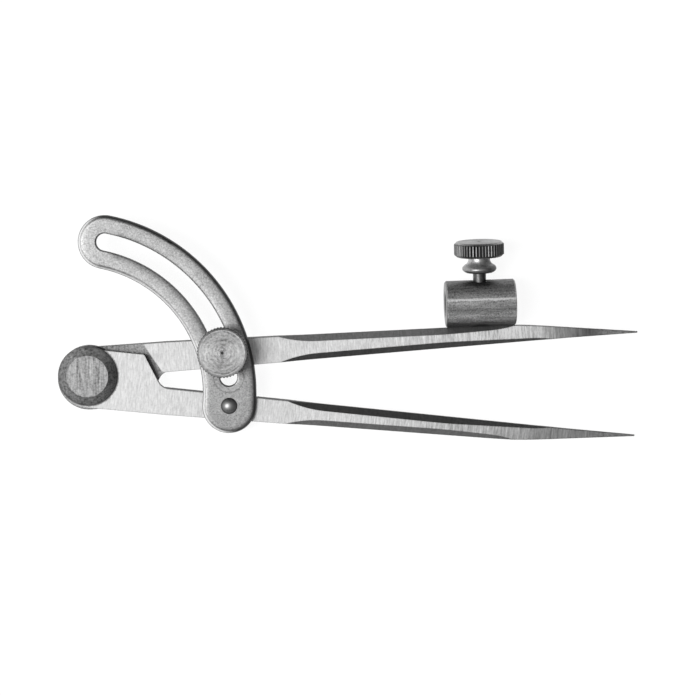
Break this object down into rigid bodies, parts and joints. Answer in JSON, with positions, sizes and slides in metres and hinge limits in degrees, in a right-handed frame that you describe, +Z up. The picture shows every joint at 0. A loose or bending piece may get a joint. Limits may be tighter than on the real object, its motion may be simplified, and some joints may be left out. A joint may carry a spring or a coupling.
{
  "type": "wing compass",
  "caption": "Steel wing compass with ground points, slotted arc and lock screw, and a clamping barrel for a pencil.",
  "frame": {"origin": "middle of the footprint, on the surface that the compass lies on", "axes": "+X from the head towards the points, +Y towards the upper leg with the pencil barrel, +Z up, out of the front face"},
  "size_m": [0.2004, 0.0772, 0.0237],
  "materials": {
    "ground_steel": "cross-ground, satin",
    "filed_steel": "ground flush, coarse lay",
    "turned_steel": "turned, dark",
    "satin_steel": "tumbled satin",
    "dark_steel": "smooth dark",
    "screw_steel": "turned and knurled"
  },
  "bodies": {
    "upper_leg": {"upper_leg": "ground_steel", "pivot_pin": "filed_steel", "front_cone": "turned_steel", "back_cone": "turned_steel", "pencil_barrel": "turned_steel"},
    "lower_leg": {"lower_leg": "ground_steel", "wing_rivet": "dark_steel"},
    "wing": {"wing": "satin_steel"},
    "lock_screw": {"lock_screw": "screw_steel"},
    "clamp_screw": {"clamp_screw": "screw_steel"}
  },
  "joints": [
    {"name": "leg_hinge", "type": "hinge", "parent": "upper_leg", "child": "lower_leg", "pos_m": [-0.0895, -0.01572, 0.00637], "axis": [-0.0092, 0.1216, -0.9925], "range_deg": [-10.6, 70]},
    {"name": "wing_hinge", "type": "hinge", "parent": "lower_leg", "child": "wing", "pos_m": [-0.0411, -0.02593, 0.00468], "axis": [-0.0092, 0.1216, -0.9925], "range_deg": [-0.32, 2.1]},
    {"name": "lock_screw_turn", "type": "hinge", "parent": "upper_leg", "child": "lock_screw", "pos_m": [-0.04295, -0.00704, 0.00701], "axis": [0.0092, -0.1216, 0.9925], "range_deg": [0, 720]},
    {"name": "clamp_screw_turn", "type": "hinge", "parent": "upper_leg", "child": "clamp_screw", "pos_m": [0.04553, 0.00866, 0.00811], "axis": [-0.0306, 0.9766, 0.213], "range_deg": [-1000, 1400]}
  ],
  "couplings": [
    {"joint": "wing_hinge", "follows": "leg_hinge", "ratio": 0.03}
  ]
}
